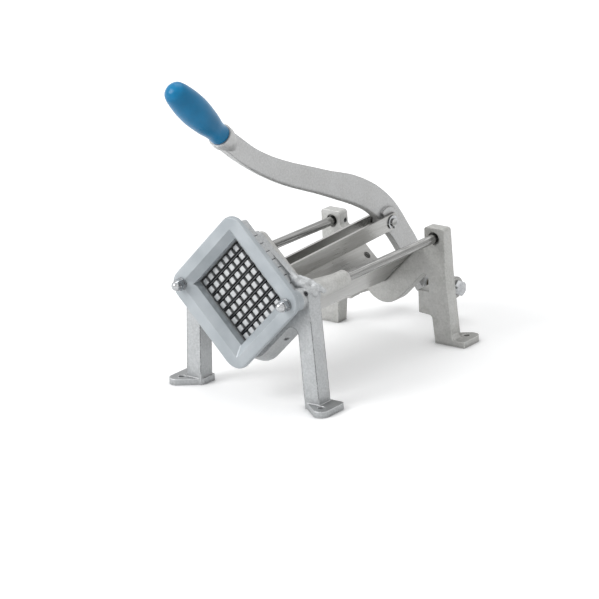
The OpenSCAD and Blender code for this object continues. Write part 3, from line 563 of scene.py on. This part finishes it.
def shaped(node):
    """A copy of the node's solid with what SHAPING, FOOT_FILLETS and BORES ask for."""
    bm = bmesh.new()
    bm.from_mesh(NODES[node].data)
    bmesh.ops.remove_doubles(bm, verts=bm.verts, dist=SAME_PLACE)
    if node in SHAPING:
        bm.normal_update()
        push(bm, SHAPING[node])
        bmesh.ops.remove_doubles(bm, verts=bm.verts, dist=SAME_PLACE)
        bmesh.ops.dissolve_degenerate(bm, dist=SAME_PLACE / 2, edges=bm.edges)
    if node in FOOT_FILLETS:
        add_fillets(bm, *FOOT_FILLETS[node])
    if node == "lever_arm":
        join_flat_faces(bm)
        bm.normal_update()
        mark_underside(bm)
    join_flat_faces(bm)
    for face in bm.faces:
        face.smooth = True
    mesh = as_mesh(bm, node + "_soft")
    if node in BORES:
        mesh = bored(mesh, *BORES[node])
    for name in ("custom_normal", "sharp_face"):
        if name in mesh.attributes:
            mesh.attributes.remove(mesh.attributes[name])
    return mesh


def softened(node, radius):
    """The node's shaped solid with its sharp edges rounded, in the node's place."""
    piece = placed(node + "_soft", shaped(node))
    if node == "lever_arm":
        broad = piece.modifiers.new("underside", "BEVEL")
        broad.width = UNDERSIDE_RADIUS * MM
        broad.segments = 4
        broad.limit_method = "WEIGHT"
        broad.use_clamp_overlap = False
    bevel = piece.modifiers.new("rounded", "BEVEL")
    bevel.width = radius * MM
    bevel.segments = 3
    bevel.limit_method = "ANGLE"
    bevel.angle_limit = SHARP
    bevel.miter_outer = "MITER_ARC"
    shading = piece.modifiers.new("weighted", "WEIGHTED_NORMAL")
    shading.weight = 60
    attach(piece, BODY_OF[node])
    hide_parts(node)
    return piece


for node, part in NODES.items():
    if node in BEVELS:
        part = softened(node, BEVELS[node])
    part.data.materials.clear()
    part.data.materials.append(MATERIALS[OWN_LOOK.get(node, SLOTS[node])])

# ---------------------------------------------------------------- cast lump beside the right rod boss
LUMP = [  # two ridges that run into each other: x, y, z and radius along each, in mm
    [(48, -112, 132.5, 2.6), (56, -112.5, 124.5, 5.4), (66, -110.5, 118, 6.2), (76, -106, 114.5, 3.6)],
    [(57, -107, 127.5, 3.0), (65, -104.5, 123.5, 4.2), (75, -102.5, 119.5, 3.4), (82, -101, 116.5, 2.2)],
]
STEPS = 6  # blobs from one point of a ridge to the next
ROUGHNESS, BUMPS = 0.22, 160  # share of the radius that the bumps take, and how many there are in a metre


def add_blob(bm, centre, radius):
    where = Matrix.Translation(centre)
    blob = bmesh.ops.create_icosphere(bm, subdivisions=3, radius=radius, matrix=where)
    for vert in blob["verts"]:
        swell = ROUGHNESS * noise.fractal(vert.co * BUMPS, 0.8, 2.0, 3)
        vert.co = centre + (vert.co - centre) * (1 + swell)


bm = bmesh.new()
for ridge in LUMP:
    for start, end in zip(ridge, ridge[1:]):
        for step in range(STEPS):
            x, y, z, radius = Vector(start).lerp(Vector(end), step / STEPS)
            add_blob(bm, Vector((x, y, z)) * MM, radius * MM)
lump = placed("cast_lump", as_mesh(bm, "cast_lump"))
lump.data.materials.append(MATERIALS["front_casting"])
fused = lump.modifiers.new("fused", "REMESH")
fused.mode = "VOXEL"
fused.voxel_size = 0.5 * MM
fused.use_smooth_shade = True
melted = lump.modifiers.new("melted", "SMOOTH")
melted.iterations = 12
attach(lump, BODY_OF["front_frame"])

# ---------------------------------------------------------------- studio, in metres
WHITE = (1, 1, 1, 1)
FLOOR_TONE = (0.74, 0.745, 0.75, 1)
CONTACT_REACH, SHADE_REACH = 0.014, 0.25  # of the painted shadow line under the feet, and of the broad, soft painted shade
GLOW_NEAR, GLOW_FAR = 0.6, 2.5  # from here to here the floor turns to plain white


def floor_finish():
    """Pale floor that keeps the object's shadow, adds painted shadow where its white glow dims near the
    object, and glows to white away from it.
    """
    g = Material("floor")
    g.shader.inputs["Base Color"].default_value = FLOOR_TONE
    g.shader.inputs["Roughness"].default_value = 0.9
    g.shader.inputs["Specular IOR Level"].default_value = 0.1
    painted_contact_shadow = g.span(g.openness(CONTACT_REACH, 8), 0.4, 0.95)
    shade = g.span(g.openness(SHADE_REACH, 16), 0.6, 0.99, 0.86, 1.0)
    distance = g.add("ShaderNodeVectorMath", operation="LENGTH")
    g.join(g.place, distance.inputs[0])
    level = g.span(distance.outputs["Value"], GLOW_NEAR, GLOW_FAR, 0.4, 1.0)
    # painted shadow: the glow dims near the feet and under the object
    level = g.times(g.times(painted_contact_shadow, shade), level)
    glow = g.add("ShaderNodeEmission")
    glow.inputs["Color"].default_value = WHITE
    g.join(g.times(g.white_rays(), level), glow.inputs["Strength"])
    both = g.add("ShaderNodeAddShader")
    g.join(g.shader.outputs[0], both.inputs[0])
    g.join(glow.outputs[0], both.inputs[1])
    g.join(both.outputs[0], g.out.inputs["Surface"])
    return g.mat


def lamp(name, where, aim, size, power):
    data = bpy.data.lights.new(name, "AREA")
    data.shape = "RECTANGLE"
    data.size, data.size_y = size
    data.energy = power
    obj = placed(name, data)
    obj.location = where
    obj.rotation_mode = "QUATERNION"
    obj.rotation_quaternion = (Vector(aim) - Vector(where)).to_track_quat("-Z", "Y")


bm = bmesh.new()
bmesh.ops.create_circle(bm, cap_ends=True, radius=9.0, segments=96)
floor = placed("floor", as_mesh(bm, "floor"))
floor.data.materials.append(floor_finish())

world = bpy.data.worlds.new("studio")
bpy.context.scene.world = world
world.use_nodes = True
sky = world.node_tree.nodes["Background"]
sky.inputs["Color"].default_value = WHITE
air = Tree(world.node_tree)
air.join(air.span(air.white_rays(), 0.0, 1.0, 0.55, 1.0), sky.inputs["Strength"])

lamp("key", (-1.0, -1.8, 1.5), (0, 0, 0.1), (1.2, 1.2), 36)
lamp("fill", (1.8, -0.4, 1.1), (0, 0, 0.1), (1.4, 1.0), 1.6)
lamp("top", (-0.3, 0.4, 2.2), (0, 0, 0.15), (1.4, 1.4), 12)

# ---------------------------------------------------------------- camera
AZIMUTH, ELEVATION, ROLL = (math.radians(a) for a in (38.67, 18.25, -2.78))
TARGET = Vector((-0.01055, -0.025, 0.07084))
DISTANCE = 2.8666
FOCAL_PX, FRAME_PX, SENSOR = 2900.1, 599, 36.0
back = Vector((
    math.sin(AZIMUTH) * math.cos(ELEVATION),
    -math.cos(AZIMUTH) * math.cos(ELEVATION),
    math.sin(ELEVATION),
))
right = Vector((math.cos(AZIMUTH), math.sin(AZIMUTH), 0))
up = back.cross(right)
rolled_right = right * math.cos(ROLL) + up * math.sin(ROLL)
rolled_up = up * math.cos(ROLL) - right * math.sin(ROLL)
turn = Matrix((rolled_right, rolled_up, back)).transposed().to_4x4()
camera = placed("camera", bpy.data.cameras.new("camera"))
camera.matrix_world = Matrix.Translation(TARGET + back * DISTANCE) @ turn
camera.data.sensor_width = SENSOR
camera.data.lens = FOCAL_PX / FRAME_PX * SENSOR
camera.data.clip_end = 30
bpy.context.scene.camera = camera

bpy.context.scene.view_settings.view_transform = "Standard"
